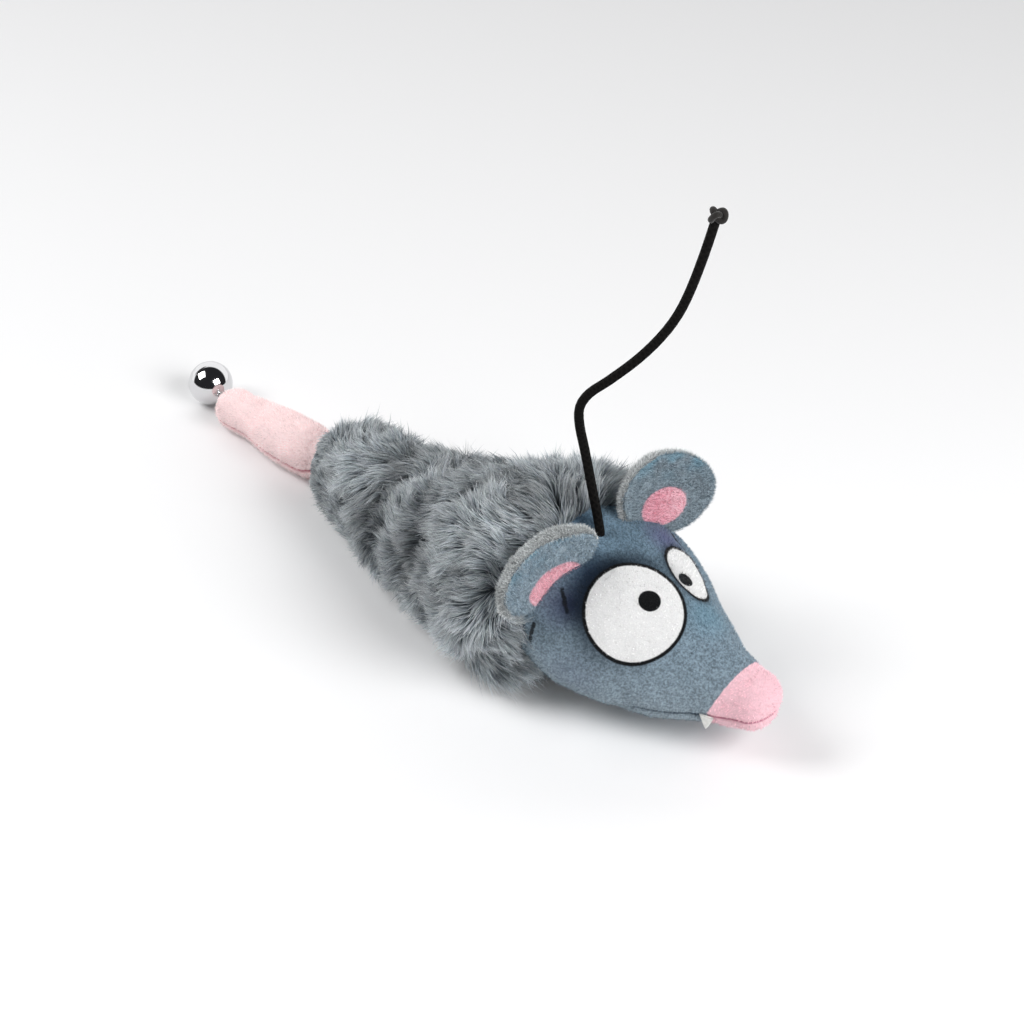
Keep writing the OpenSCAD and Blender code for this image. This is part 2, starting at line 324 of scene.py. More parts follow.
def head_print():
    g = Graph("printed_plush", **PLUSH)
    p = g.place()
    high = g.add(g.along(p, (0, 0, 14), (0, 0, 1), 42), 0.0, clamp=True)
    low_mix = mottled(g, p, shade(STEEL, 0.5), shade(STEEL, 1.26), 0.75)
    top_mix = mottled(g, p, shade(SLATE, 0.48), shade(SLATE, 1.24), 0.75)
    c = g.mix(high, low_mix, top_mix)
    # airbrushed patches
    for at, size, colour, strength in (
        ((84, 17, 51), 11, VIOLET, 0.75),
        ((78, -25, 42), 10, VIOLET, 0.35),
        ((83, -15, 50), 13, srgb("#1f3450"), 1.0),
        ((82, -24, 45), 10, srgb("#1e2743"), 0.95),
        ((110, 6, 38), 12, TEAL, 0.25),
        ((88, -33, 24), 14, VIOLET, 0.15),
        ((66, -3, 58), 9, srgb("#33526e"), 0.45),
    ):
        m = g.mul(g.inside(g.near(p, at), 0.0, size), strength)
        c = g.mix(m, c, colour)
    for a, b, width in (
        ((76.3, -22.9, 47.4), (81.3, -25.6, 42.6), 0.5),
        ((72.4, -31.0, 36.0), (71.9, -32.1, 30.2), 0.5),
        ((73.9, 24.6, 47.0), (84.0, 20.6, 46.9), 0.35),
        ((84.0, 20.6, 46.9), (88.0, 22.5, 43.6), 0.3),
        ((79.0, 15.5, 52.6), (86.5, 15.0, 50.3), 0.25),
        ((63.0, 9.5, 56.6), (64.8, 15.0, 54.0), 0.5),
    ):
        wobble = g.mul(g.noise(p, 1.3, 2), 0.9)
        m = g.inside(g.add(g.stroke(p, a, b), g.math("SUBTRACT", wobble, 0.45)), width, width * 2.2)
        c = g.mix(g.mul(m, 0.9), c, INK)
    # far eye, drawn first because the near one overlaps it
    x = g.along(p, FAR_EYE, FAR_LONG, 10.6)
    y = g.along(p, FAR_EYE, FAR_SHORT, 7.2)
    y = g.mul(y, g.add(g.mul(x, 0.16), 1.0))
    d = g.radius(x, y)
    c = g.mix(g.mul(g.inside(d, 1.0, 1.3), 0.55), c, NAVY)
    c = g.mix(g.inside(d, 1.03, 1.08), c, INK)
    white = mottled(g, p, shade(WHITE, 0.9), WHITE, 0.5, 4)
    c = g.mix(g.inside(d, 0.91, 0.96), c, white)
    c = g.mix(g.inside(g.near(p, FAR_PUPIL), 2.4, 2.7), c, INK)
    # near eye with its soft shadow towards the ear
    right = unit(EYE_RIGHT - NEAR_N * (NEAR_N @ EYE_RIGHT))
    up = np.cross(NEAR_N, right)
    x = g.along(p, NEAR_EYE, right, NEAR_R)
    y = g.along(p, NEAR_EYE, up, NEAR_R)
    d = g.radius(x, y)
    lean = g.add(g.mul(x, -0.55), g.mul(y, 0.42))
    lean = g.add(g.mul(lean, 0.8), 0.5, clamp=True)
    soft = g.math("POWER", g.inside(d, 0.98, 1.55), 1.4)
    c = g.mix(g.mul(soft, lean), c, NAVY)
    c = g.mix(g.inside(d, 1.0, 1.035), c, INK)
    c = g.mix(g.inside(d, 0.935, 0.96), c, white)
    c = g.mix(g.inside(g.near(p, NEAR_PUPIL), 3.35, 3.7), c, INK)
    # pink nose cap, and the dark line of the seam
    edge = g.along(p, (124.9, 0, 18.6), (1, 0, -0.36))
    edge = g.add(edge, g.mul(g.noise(p, 1.1, 2), 0.5))
    nose = mottled(g, p, shade(PINK, 0.9), shade(PINK, 1.06), 0.6, 5)
    c = g.mix(g.inside(edge, 0.1, 0.4), nose, c)
    across = g.math("ABSOLUTE", g.along(p, SEAM_AT, SEAM_NORMAL))
    thread = g.mix(g.inside(edge, 0.1, 0.4), srgb("#b0607a"), srgb("#2b3a49"))
    front = g.inside(g.along(p, (112, 0, 0), (-1, 0, 0), 16), 0.2, 1.0)
    c = g.mix(g.mul(g.inside(across, 0.12, 0.6), g.mul(front, 0.8)), c, thread)
    c = g.scale(c, g.add(g.value("tint"), 1.0))
    return g.finish(c, pile(g, p, 0.4), 0.3)


def ear_print(name, bean_at, bean_size, bean_dark, tone):
    """The front of an ear, in its own coordinates: across, up from the hinge line, and forwards."""
    g = Graph(name, **PLUSH)
    p = g.place()
    # tone scales the whole print: above 1 on the near ear as painted light, below 1 on the far ear as
    # painted shade
    c = mottled(g, p, shade(STEEL, 0.75 * tone), shade(STEEL, 1.25 * tone), 0.75)
    rim = g.along(p, (0, 10.5, 0), (0, 1, 0), 13.5)
    m = g.mul(g.inside(rim, 0.95, 0.1), g.inside(g.noise(p, 9, 2), 0.62, 0.38))
    c = g.mix(g.mul(m, 0.42), c, TEAL)
    rose_dark = srgb(bean_dark)
    x = g.along(p, (*bean_at, 0), (1, 0.22, 0), bean_size[0])
    y = g.along(p, (*bean_at, 0), (-0.22, 1, 0), bean_size[1])
    d = g.radius(x, y)
    # one side of the bean darker: painted shade on the far ear, where the two pinks differ; on the near ear
    # they nearly match
    rose = g.mix(g.inside(x, 0.9, -0.35), rose_dark, srgb("#f2c6d0"))
    rose = g.scale(rose, mottled(g, p, (0.88, 0.88, 0.88, 1), (1, 1, 1, 1), 0.6, 5))
    c = g.mix(g.inside(d, 0.95, 1.02), c, rose)
    c = g.mix(g.mul(g.value("seam"), 0.75), c, srgb("#2a3540"))
    c = g.scale(c, g.add(g.value("tint"), 1.0))
    return g.finish(c, pile(g, p, 0.4), 0.3)


def plain_plush(name, code, low, high, size, depth, sheen=0.35, seam="#000000", seam_darkening=0.6):
    """Short pile of one dyed colour, darker along its seams."""
    g = Graph(name, Roughness=0.9, Sheen_Weight=sheen, Sheen_Roughness=0.5, Specular_IOR_Level=0.2)
    p = g.place()
    base = srgb(code)
    c = mottled(g, p, shade(base, low), shade(base, high))
    c = g.mix(g.mul(g.value("seam"), seam_darkening), c, srgb(seam))
    return g.finish(c, pile(g, p, size), depth)


def strand_material(name, sheen=0.25):
    """Fibres, coloured one by one."""
    g = Graph(name, Roughness=0.62, Sheen_Weight=sheen, Sheen_Roughness=0.5, Specular_IOR_Level=0.25)
    return g.finish(g.value("fibre", 0))


def chrome_material():
    g = Graph("chrome", Metallic=1.0, Base_Color=(0.68, 0.68, 0.69, 1), Roughness=0.06)
    p = g.place()
    worn = g.noise(p, 0.6, 4, 0.7)
    limits = {"From Min": 0.3, "From Max": 0.8, "To Min": 0.03, "To Max": 0.13}
    rough = g.node("MapRange", {"Value": worn, **limits})
    return g.finish(None, g.noise(p, 1.6, 2), 0.004, rough)


def thread_material(name, code, size=0.25):
    g = Graph(name, Roughness=0.75, Sheen_Weight=0.2, Specular_IOR_Level=0.3)
    p = g.place()
    base = srgb(code)
    c = mottled(g, p, shade(base, 0.8), base, size, 1.5)
    return g.finish(c, g.noise(p, size, 3, 0.6, (1, 1, 3)), 0.08)


def elastic_material():
    """Braided elastic: two sets of strands that cross, written along the curve's own length."""
    g = Graph("braided_elastic", Roughness=0.8, Specular_IOR_Level=0.12)
    uv = {0: g.node("TexCoord", {}, 2)}
    along = g.mul(g.node("SeparateXYZ", uv, 0), 150 * math.pi)
    turn = g.mul(g.node("SeparateXYZ", uv, 1), 8 * math.pi)
    one = g.math("SINE", g.add(along, turn))
    two = g.math("SINE", g.math("SUBTRACT", along, turn))
    weave = g.math("MAXIMUM", one, two)
    fuzz = g.noise(g.node("TexCoord", {}, 3), 0.0003, 3)
    height = g.add(weave, g.mul(fuzz, 0.5))
    c = g.mix(g.inside(weave, 0.9, 0.2), srgb("#040303"), srgb("#0f0d0c"))
    return g.finish(c, height, 0.12)


# ---- shapes


def catmull(keys, steps):
    """Smooth rows of numbers through the keys, with steps pieces between neighbours."""
    k = np.array(keys, float)
    k = np.vstack([2 * k[0] - k[1], k, 2 * k[-1] - k[-2]])
    rows = []
    for i in range(1, len(k) - 2):
        a, b, c, d = k[i - 1 : i + 3]
        for s in range(steps):
            t = s / steps
            bend, twist = 2 * a - 5 * b + 4 * c - d, 3 * b - a - 3 * c + d
            rows.append(0.5 * (2 * b + (c - a) * t + bend * t**2 + twist * t**3))
    rows.append(k[-2])
    return np.array(rows)


def sections_to_grid(sections, around, floor=None):
    """Points of rings in planes of constant x. A section is x, y, z, half width, rise, drop."""
    a = circle(around)
    s = np.array(sections, float)
    x, y, z, w, up, down = (s[:, i : i + 1] for i in range(6))
    high = np.where(np.sin(a) > 0, up, down) * np.sin(a)
    grid = np.stack([x + 0 * a, y + w * np.cos(a), z + high], -1)
    if floor is not None:
        grid[..., 2] = np.maximum(grid[..., 2], floor)
    return grid


def ball_sections(centre, r, start, stop, steps, way):
    t = np.radians(np.linspace(start, stop, steps + 1))
    q = np.maximum(0.3, r * np.cos(t))
    x = centre[0] + way * r * np.sin(t)
    return np.stack([x, 0 * t + centre[1], 0 * t + centre[2], q, q, q], 1)


def end_sections(section, length, steps, way, least=0.02):
    t = np.radians(np.linspace(0, 90, steps + 1)[1:])
    q = np.maximum(least, np.cos(t))
    x, y, z, w, up, down = section
    return np.stack([x + way * length * np.sin(t), 0 * t + y, 0 * t + z, w * q, up * q, down * q], 1)


def grid_faces(rows, cols, wrap=True, caps=False):
    """Quads over a grid of points, and fans over its first and last rows, as index arrays."""
    i = np.arange(rows - 1)[:, None] * cols
    j = np.arange(cols if wrap else cols - 1)[None]
    k = (j + 1) % cols
    quads = np.stack([i + j, i + k, i + cols + k, i + cols + j], -1).reshape(-1, 4)
    if not caps:
        return quads
    first = np.arange(cols)[::-1][None]
    last = (np.arange(cols) + (rows - 1) * cols)[None]
    return [quads, first, last]


def make_mesh(name, verts, faces, rest=None, seam=None):
    """An object from millimetre points and index arrays, each array holding faces of one size.

    seam says how near each point is to a seam; without it no point is.
    """
    faces = faces if isinstance(faces, list) else [faces]
    verts = np.asarray(verts, float)
    mesh = bpy.data.meshes.new(name)
    loops = np.concatenate([f.ravel() for f in faces]).astype(np.int32)
    sizes = np.concatenate([np.full(len(f), f.shape[1]) for f in faces])
    starts = np.concatenate([[0], np.cumsum(sizes)[:-1]]).astype(np.int32)
    mesh.vertices.add(len(verts))
    mesh.vertices.foreach_set("co", (verts * MM).astype(np.float32).ravel())
    mesh.loops.add(len(loops))
    mesh.loops.foreach_set("vertex_index", loops)
    mesh.polygons.add(len(sizes))
    mesh.polygons.foreach_set("loop_start", starts)
    mesh.polygons.foreach_set("use_smooth", np.ones(len(sizes), bool))
    mesh.update()
    mesh.validate()
    store(mesh, "rest", verts if rest is None else rest, "FLOAT_VECTOR")
    store(mesh, "seam", np.zeros(len(verts)) if seam is None else seam)
    return add_object(name, mesh)


def store(mesh, name, values, kind="FLOAT"):
    attribute = mesh.attributes.new(name, kind, "POINT")
    key = {"FLOAT": "value", "FLOAT_VECTOR": "vector", "FLOAT_COLOR": "color"}[kind]
    attribute.data.foreach_set(key, np.asarray(values, np.float32).ravel())


def normals_of(verts, faces):
    """Vertex normals of a mesh given as points and quads or triangles."""
    normals = np.zeros_like(verts)
    for f in faces if isinstance(faces, list) else [faces]:
        if f.shape[1] > 4:
            continue
        n = np.cross(verts[f[:, 2]] - verts[f[:, 0]], verts[f[:, -1]] - verts[f[:, 1]])
        for c in range(f.shape[1]):
            np.add.at(normals, f[:, c], n)
    return unit(normals)


def outward(verts, faces, centre):
    """The faces turned to look away from centre, and the vertex normals."""
    normals = normals_of(verts, faces)
    if (normals * (verts - centre)).sum() < 0:
        return [f[:, ::-1] for f in faces], -normals
    return faces, normals


def surface(grid):
    """Points, faces and outward normals of a closed grid."""
    flat = grid.reshape(-1, 3)
    return flat, *outward(flat, grid_faces(*grid.shape[:2], caps=True), flat.mean(0))


def scatter(verts, quads, normals, count, rng):
    """Random points over quads or triangles, evenly by area, with their normals."""
    tris = quads[:, :3]
    if quads.shape[1] == 4:
        tris = np.vstack([quads[:, [0, 1, 2]], quads[:, [0, 2, 3]]])
    a, b, c = (verts[tris[:, i]] for i in range(3))
    area = np.linalg.norm(np.cross(b - a, c - a), axis=1)
    pick = rng.choice(len(tris), count, p=area / area.sum())
    u, v = rng.random(count), rng.random(count)
    flip = u + v > 1
    u[flip], v[flip] = 1 - u[flip], 1 - v[flip]
    weights = np.stack([1 - u - v, u, v], 1)[..., None]
    t = tris[pick]
    return (verts[t] * weights).sum(1), unit((normals[t] * weights).sum(1)), area.sum() / 2


def waves(p, size, seed, count=9):
    """Smooth seeded noise between about -1 and 1 with bumps of size millimetres."""
    rng = np.random.default_rng(seed)
    k = unit(rng.normal(size=(count, 3))) * (math.tau / (size * 2)) * rng.uniform(0.6, 1.5, (count, 1))
    return np.sin(p @ k.T + rng.uniform(0, math.tau, count)).sum(1) / math.sqrt(count)


def tangent(v, n):
    return unit(v - n * (v * n).sum(-1, keepdims=True))


def ribbons(name, points, width, face, fibre, rest):
    """Tapered fibres as one mesh. points is (fibres, steps, 3); face is the way each ribbon faces."""
    count, steps, _ = points.shape
    run = np.gradient(points, axis=1)
    side = unit(np.cross(run, face[:, None]))
    taper = np.linspace(1, 0.45, steps)[None, :-1, None] * width[:, None, None] / 2
    left = points[:, :-1] - side[:, :-1] * taper
    right = points[:, :-1] + side[:, :-1] * taper
    per = 2 * (steps - 1) + 1
    verts = np.empty((count, per, 3))
    verts[:, 0:-1:2], verts[:, 1:-1:2], verts[:, -1] = left, right, points[:, -1]
    base = np.arange(count)[:, None] * per
    quads = [base + np.array([2 * s, 2 * s + 1, 2 * s + 3, 2 * s + 2]) for s in range(steps - 2)]
    last = 2 * (steps - 2)
    tips = base + np.array([last, last + 1, per - 1])
    faces = ([np.concatenate(quads)] if quads else []) + [tips]
    rest = np.repeat(rest[:, None], per, 1).reshape(-1, 3)
    verts[..., 2] = np.maximum(verts[..., 2], 0.1)
    piece = make_mesh(name, verts.reshape(-1, 3), faces, rest)
    if fibre is not None:
        tone = np.empty((count, per, 4))
        tone[:, 0:-1:2], tone[:, 1:-1:2], tone[:, -1] = fibre[:, :-1], fibre[:, :-1], fibre[:, -1]
        store(piece.data, "fibre", tone, "FLOAT_COLOR")
    return piece


def tube(name, route, r, closed=False, sides=12):
    """A round tube of radius r along a route of points."""
    p = np.array(route, float)
    run = np.roll(p, -1, 0) - np.roll(p, 1, 0) if closed else np.gradient(p, axis=0)
    run = unit(run)
    side = unit(np.cross(run[0], [0.31, 0.17, 0.93]))
    sides_of = []
    for t in run:
        side = unit(side - t * (side @ t))
        sides_of.append(side)
    s = np.array(sides_of)
    u = np.cross(run, s)
    a = circle(sides)
    grid = p[:, None] + r * (np.cos(a)[None, :, None] * s[:, None] + np.sin(a)[None, :, None] * u[:, None])
    n = len(p)
    if closed:
        # the frame turns on its way round, so the last ring is matched to the first by angle
        faces = grid_faces(n, sides)
        turn = int(round(math.atan2(s[0] @ u[-1], s[0] @ s[-1]) / math.tau * sides))
        j = np.arange(sides)
        last = (n - 1) * sides
        ends = [last + (j + turn) % sides, last + (j + turn + 1) % sides, (j + 1) % sides, j]
        close = np.stack(ends, -1)
        return make_mesh(name, grid.reshape(-1, 3), np.vstack([faces, close]))
    return make_mesh(name, grid.reshape(-1, 3), grid_faces(n, sides, caps=True))


def dress(piece, material):
    piece.data.materials.append(material)


def finish_piece(piece, material, body, replaces=()):
    dress(piece, material)
    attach(piece, body)
    if replaces:
        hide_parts(*replaces)
    return piece


# ---- elastic cord

CORD_R = 1.5
CORD_KEYS = [
    [73.5, -2.5, 50], [73, -2.5, 58], [70, -3, 72], [66.5, -2.7, 84], [64, -2.5, 92], [63.5, -2, 98],
    [65.5, 0, 103], [70, 4, 108], [76, 9.5, 115.5], [80.5, 14.5, 123], [84, 18, 131], [86.5, 20.5, 140],
    [89, 23, 152], [91.5, 25, 165],
]


def make_knot(name, centre, size, r):
    """A tight overhand knot: a trefoil of the cord, pulled close."""
    t = np.linspace(0, math.tau, 97)[:-1]
    x = np.sin(t) + 2 * np.sin(2 * t)
    y = np.cos(t) - 2 * np.cos(2 * t)
    z = -np.sin(3 * t) * 1.5
    route = np.stack([x, y, z], 1) / 3 * size + centre
    return tube(name, route, r, closed=True)


def make_cord():
    elastic = elastic_material()
    data = bpy.data.curves.new("elastic_cord", "CURVE")
    data.dimensions, data.use_fill_caps = "3D", True
    data.bevel_depth, data.bevel_resolution = CORD_R * MM, 5
    line = data.splines.new("POLY")
    route = catmull(CORD_KEYS, 3)
    line.points.add(len(route) - 1)
    line.use_smooth = True
    for point, at in zip(line.points, route):
        point.co = (*(at * MM), 1)
    cord = add_object("elastic_cord", data)
    finish_piece(cord, elastic, "head", ["cord"])
    end = make_knot("end_knot", middle_of("cord_end_knot"), 2.3, 1.0)
    plain = thread_material("elastic_knot", "#1d1a18", 0.4)
    finish_piece(end, plain, "head", ["cord_end_knot"])
    anchor = make_knot("anchor_knot", middle_of("cord_anchor_knot"), 2.9, 1.2)
    finish_piece(anchor, plain, "head", ["cord_anchor_knot"])


make_cord()

# ---- body: skin and long pile

BODY_HALF = (37.0, 33.0)
BODY_KEYS = [
    [-57.5, 9, 0.39, 0.41], [-38, 5, 0.48, 0.52], [-10, -1, 0.61, 0.63],
    [20, -5, 0.79, 0.80], [42, -5, 0.95, 0.96], [54, -4, 1, 1],
]
NECK = np.array([52.0, -4, 33.5])
TAIL_ROOT = np.array([-55.0, 9, 12.5])
REAR_JOIN, FRONT_JOIN = -36.0, 38.0


def body_sections(inset):
    rows = []
    for x, y, w, h in catmull(BODY_KEYS, 10):
        half_w, half_h = w * BODY_HALF[0], h * BODY_HALF[1]
        rows.append([x, y, half_h - 1, half_w - inset, half_h - inset, half_h - inset])
    first, last = rows[0], rows[-1]
    back = end_sections(first, 5.5, 6, -1, 0.62)[::-1]
    front = []
    steps = ((2.5, -0.4, -0.6, -1.0), (5, -1.6, -2.2, -3.6), (8, -4.2, -4.6, -7.5), (10.5, -8.5, -9, -13))
    for dx, w, up, down in steps:
        front.append([last[0] + dx, last[1] + dx * 0.25, last[2], last[3] + w, last[4] + up, last[5] + down])
    return np.vstack([back, rows, front])


def near_spot(p, at, spread):
    """1 at the point at, falling off smoothly."""
    return np.exp(-((p - at) ** 2).sum(1) / spread)


def dents(p):
    """How deep the fur's partings lie, from 0 to 1."""
    depth = np.zeros(len(p))
    for at, r in (
        ((-22, 13, 34), 5), ((-14, 4, 38), 5), ((-8, -6, 41), 5), ((-5, -14, 39), 5.5), ((-3, -19, 34), 6),
        ((0, -24, 27), 6), ((14, -19, 45), 4), ((22, -25, 47), 5.5), ((27, -31, 43), 6), ((26, -34, 36), 6),
        ((20, -33, 30), 6), ((36, -36, 24), 5),
    ):
        depth = np.maximum(depth, near_spot(p, at, r**2))
    return depth


def flow_of(p, n):
    """Which way the pile lies at each point."""
    f = np.zeros_like(p)
    front, rear, side = ramp(p[:, 0], 40, 54), ramp(p[:, 0], -5, -35), ramp(p[:, 2], 42, 24)
    f[:, 0] = -0.75 - 0.35 * rear + front * (0.1 + 1.2 * side)
    f[:, 1] = 0.25 * waves(p, 22, 5)
    f[:, 2] = -0.55 + 0.25 * rear - 0.25 * side + 0.35 * front * (1 - side)
    f = tangent(f, n)
    turn = 0.65 * waves(p, 16, 11) + 0.5 * waves(p, 7, 12)
    return unit(f * np.cos(turn)[:, None] + np.cross(n, f) * np.sin(turn)[:, None])


def clump_of(points, centres):
    tree = KDTree(len(centres))
    for i, c in enumerate(centres):
        tree.insert(c, i)
    tree.balance()
    return np.array([tree.find(p)[1] for p in points])


FUR_TONES = np.array([srgb(c) for c in ("#2d3237", "#626a70", "#929a9f", "#ccd0d2")])


def grow_fur(verts, quads, normals, count, rng):
    """Curves, widths, facings and colours of long-pile fibres, combed into tufts."""
    root, n, area = scatter(verts, quads, normals, count, rng)
    big_at, big_n, _ = scatter(verts, quads, normals, int(area / 75), rng)
    small_at, small_n, _ = scatter(verts, quads, normals, int(area / 9), rng)
    big, small = clump_of(root, big_at), clump_of(root, small_at)
    flow = flow_of(root, n)
    dent = dents(root)
    lift = 0.62 + 0.12 * waves(root, 14, 21)
    crest = 1.6 * near_spot(root, [-52, 17, 27], 70)
    crest += 1.2 * near_spot(root, [50, 24, 52], 160)
    lift = lift + 0.35 * crest
    big_lean = tangent(rng.normal(size=big_n.shape), big_n)
    small_lean = tangent(rng.normal(size=small_n.shape), small_n)
    lean = big_lean[big] * 0.34 + small_lean[small] * 0.36 + rng.normal(size=root.shape) * 0.22
    way = unit(n * lift[:, None] + flow + lean)
    length = rng.normal(9.0, 0.9, count) * (1 + 0.12 * waves(root, 9, 31))
    length *= (1 - 0.22 * dent) * (1 + 0.25 * crest)
    length *= np.where(rng.random(count) < 0.05, 1.22, 1.0)
    # shorter behind, at the near rear corner, at the rim and low on the flank; longer under the head
    x, y, z = root.T
    for gain, *limits in (
        (-0.45, (x, -48, -56), (y, 14, 2)), (-0.45, (x, -38, -48), (y, 8, -1)), (-0.3, (x, -56, -61)),
        (-0.25, (y, -6, -16), (z, 26, 16), (x, 34, 22)), (0.45, (x, 44, 52), (z, 22, 12)),
    ):
        length *= 1 + gain * np.prod([ramp(*limit) for limit in limits], axis=0)
    # fibres of a tuft come together at its tip
    small_flow = flow_of(small_at, small_n)
    tuft_lean = big_lean[clump_of(small_at, big_at)]
    small_way = unit(small_n * 0.66 + small_flow + tuft_lean * 0.34 + small_lean * 0.30)
    goal = small_at[small] + small_way[small] * length[:, None]
    start = root - n * (dent * 2.2)[:, None]
    tip = start + way * length[:, None]
    pull = rng.uniform(0.25, 0.6, count)[:, None]
    tip = tip * (1 - pull) + goal * pull
    mid = start + unit(n * 0.95 + flow * 0.45 + lean * 0.5) * (length * 0.48)[:, None]
    t = np.array([0, 0.34, 0.68, 1])[None, :, None]
    curve = start[:, None] * (1 - t) ** 2 + mid[:, None] * 2 * t * (1 - t) + tip[:, None] * t**2
    # pressed flat where the belly rests, and never through the floor
    curve[..., 2] = np.maximum(curve[..., 2], 0.35 + rng.random((count, 1)) * 0.5)
    face = unit(n + rng.normal(size=n.shape) * 0.45)
    width = rng.uniform(0.24, 0.40, count) * 1
    tone = 1.02 + 0.17 * waves(root, 11, 41) + rng.normal(0, 0.12, count)
    tone += rng.normal(0, 0.13, len(small_at))[small]
    # painted shade: fibres in the partings made darker, where shadow falls between the tufts
    tone *= 1 - 0.65 * dent
    # painted light: fibres made lighter in two pools at the front, low on the near flank and next to the
    # head
    light = near_spot(root, [52, -29, 22], 120)
    light += near_spot(root, [32, -8, 52], 80)
    low = ramp(z, 34, 20) * ramp(y, -4, -16)
    painted_light_near_head = ramp(x, 26, 40) * ramp(y, -8, -18)
    tone = np.clip(tone + 0.1 * light + 0.13 * low + 0.22 * painted_light_near_head, 0.5, 1.7)
    fibre = FUR_TONES[None] * tone[:, None, None]
    fibre = fibre * (1 + rng.normal(0, 0.02, (count, 1, 4)))
    fibre[..., 3] = 1
    return root, curve, width, face, fibre


def make_body():
    rng = np.random.default_rng(3)
    around = 96
    sections = body_sections(3.0)
    grid = sections_to_grid(sections, around, 1.6)
    flat = grid.reshape(-1, 3)
    quads = grid_faces(len(sections), around)
    normals = normals_of(flat, quads)
    flat = flat + normals * (0.5 * waves(flat, 6, 61) - 2.0 * dents(flat))[:, None]
    flat[:, 2] = np.maximum(flat[:, 2], 1.2)
    skin = plain_plush("fur_backing", "#59636c", 0.55, 1.0, 0.8, 0.8)
    x = sections[:, 0]
    cuts = {
        "fur_skin_rear": x <= REAR_JOIN + 3, "fur_skin_middle": (x > REAR_JOIN - 3) & (x < FRONT_JOIN + 3),
        "fur_skin_front": x >= FRONT_JOIN - 3,
    }
    pieces = {}
    for name, rows in cuts.items():
        part = flat.reshape(grid.shape)[rows].reshape(-1, 3)
        piece = make_mesh(name, part, grid_faces(int(rows.sum()), around))
        dress(piece, skin)
        pieces[name] = piece
    pile_material = strand_material("long_pile")
    count = 125000
    root, curve, width, face, fibre = grow_fur(flat, quads, normals, count, rng)
    x = root[:, 0]
    middle, near = (x >= REAR_JOIN) & (x <= FRONT_JOIN), root[:, 1] < 0
    parts = {
        "fur_rear": x < REAR_JOIN, "fur_front": (x > FRONT_JOIN) & (x < 63.5),
        "fur_middle": middle & near, "fur_middle_far": middle & ~near,
    }
    for name, m in parts.items():
        piece = ribbons(name, curve[m], width[m], face[m], fibre[m], root[m])
        dress(piece, pile_material)
        pieces[name] = piece
    for name, piece in pieces.items():
        if "rear" in name:
            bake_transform(piece)
        elif "front" in name:
            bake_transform(piece)
        else:
            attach(piece, "torso")
    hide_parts("body_cover")
    inner = body_sections(5.5)[9:-6]
    filling("body_filling", sections_to_grid(inner, 48, 3.5), "torso", "body_stuffing")


def filling(name, grid, body, node):
    """Stuffing: a lumpy closed form inside its cover."""
    flat, faces, normals = surface(grid)
    flat = flat + normals * (0.4 * waves(flat, 5, 71))[:, None]
    piece = make_mesh(name, flat, faces)
    finish_piece(piece, FILLING, body, [node])
    return piece


FILLING = plain_plush("polyester_filling", "#e8e8e4", 0.85, 1.0, 1.2, 0.9, 0.1)
make_body()

# ---- head

HEAD_HALF = 33.0
HEAD_KEYS = [
    [66, -0.5, 31, 0.94, 27, 25], [78, 0.5, 27, 1, 28.5, 24], [90, 0.5, 24, 0.90, 27, 20.5],
    [100, 0.5, 22, 0.75, 24, 18], [110, 1, 20.5, 0.585, 20.5, 15.5], [120, 2, 19.5, 0.415, 16.5, 11.5],
    [130, 3.3, 19, 0.3, 13, 9.5], [134, 4, 19, 0.28, 11.5, 8.5],
]


def head_sections(inset, steps):
    rows = catmull(HEAD_KEYS, steps)
    rows[:, 3] *= HEAD_HALF
    rows[:, 3:] -= inset
    back = ball_sections(NECK, 27 - inset, -80, 12, 24, 1)
    join = np.linspace(back[-1], rows[0], 7)[1:-1]
    nose = end_sections(rows[-1], 6 - inset, 12, 1)
    return np.vstack([back, join, rows, nose])


def split_by_plane(verts, faces, at, normal):
    """The two parts of a mesh on either side of a plane, as (points, quads and triangles)."""
    parts = []
    for way in (1, -1):
        bm = bmesh.new()
        whole = make_mesh("scratch", verts, faces)
        bm.from_mesh(whole.data)
        discard(whole)
        geometry = bm.verts[:] + bm.edges[:] + bm.faces[:]
        bmesh.ops.bisect_plane(
            bm, geom=geometry, dist=1e-7, plane_co=Vector(at) * MM, plane_no=Vector(normal) * way,
            clear_inner=True,
        )
        bmesh.ops.triangulate(bm, faces=[f for f in bm.faces if len(f.verts) > 4])
        bm.verts.index_update()
        points = np.array([v.co[:] for v in bm.verts]) / MM
        indices = [[v.index for v in f.verts] for f in bm.faces]
        bm.free()
        sized = [np.array([f for f in indices if len(f) == corners]) for corners in (4, 3)]
        parts.append((points, [f for f in sized if len(f)]))
    return parts


def fuzz(
    name, verts, faces, normals, count, length, width, lay, seed, lean=0.5, keep=None, fibre=None, rest=None
):
    """Short pile over a surface: fibres of two steps that lean the way lay points."""
    rng = np.random.default_rng(seed)
    quads = faces[0]
    root, n, _ = scatter(verts, quads, normals, count, rng)
    if keep is not None:
        m = keep(root)
        root, n = root[m], n[m]
    way = unit(n + lean * tangent(np.array(lay), n) + rng.normal(size=n.shape) * 0.28)
    size = length * rng.uniform(0.7, 1.25, len(root))
    start = root - n * 0.15
    curve = np.stack([start, start + way * size[:, None]], 1)
    face = unit(n + rng.normal(size=n.shape) * 0.5)
    tones = None
    if fibre is not None:
        k = 1 + rng.normal(0, 0.10, (len(root), 1, 1)) + 0.1 * waves(root, 5, seed)[:, None, None]
        tones = np.array(fibre)[None] * k
        tones[..., 3] = 1
    place = root if rest is None else rest(root)
    piece = ribbons(name, curve, rng.uniform(0.8, 1.2, len(root)) * width, face, tones, place)
    store(piece.data, "tint", np.repeat(rng.normal(0.12, 0.22, len(root)).clip(-0.4, 0.7), 3))
    return piece


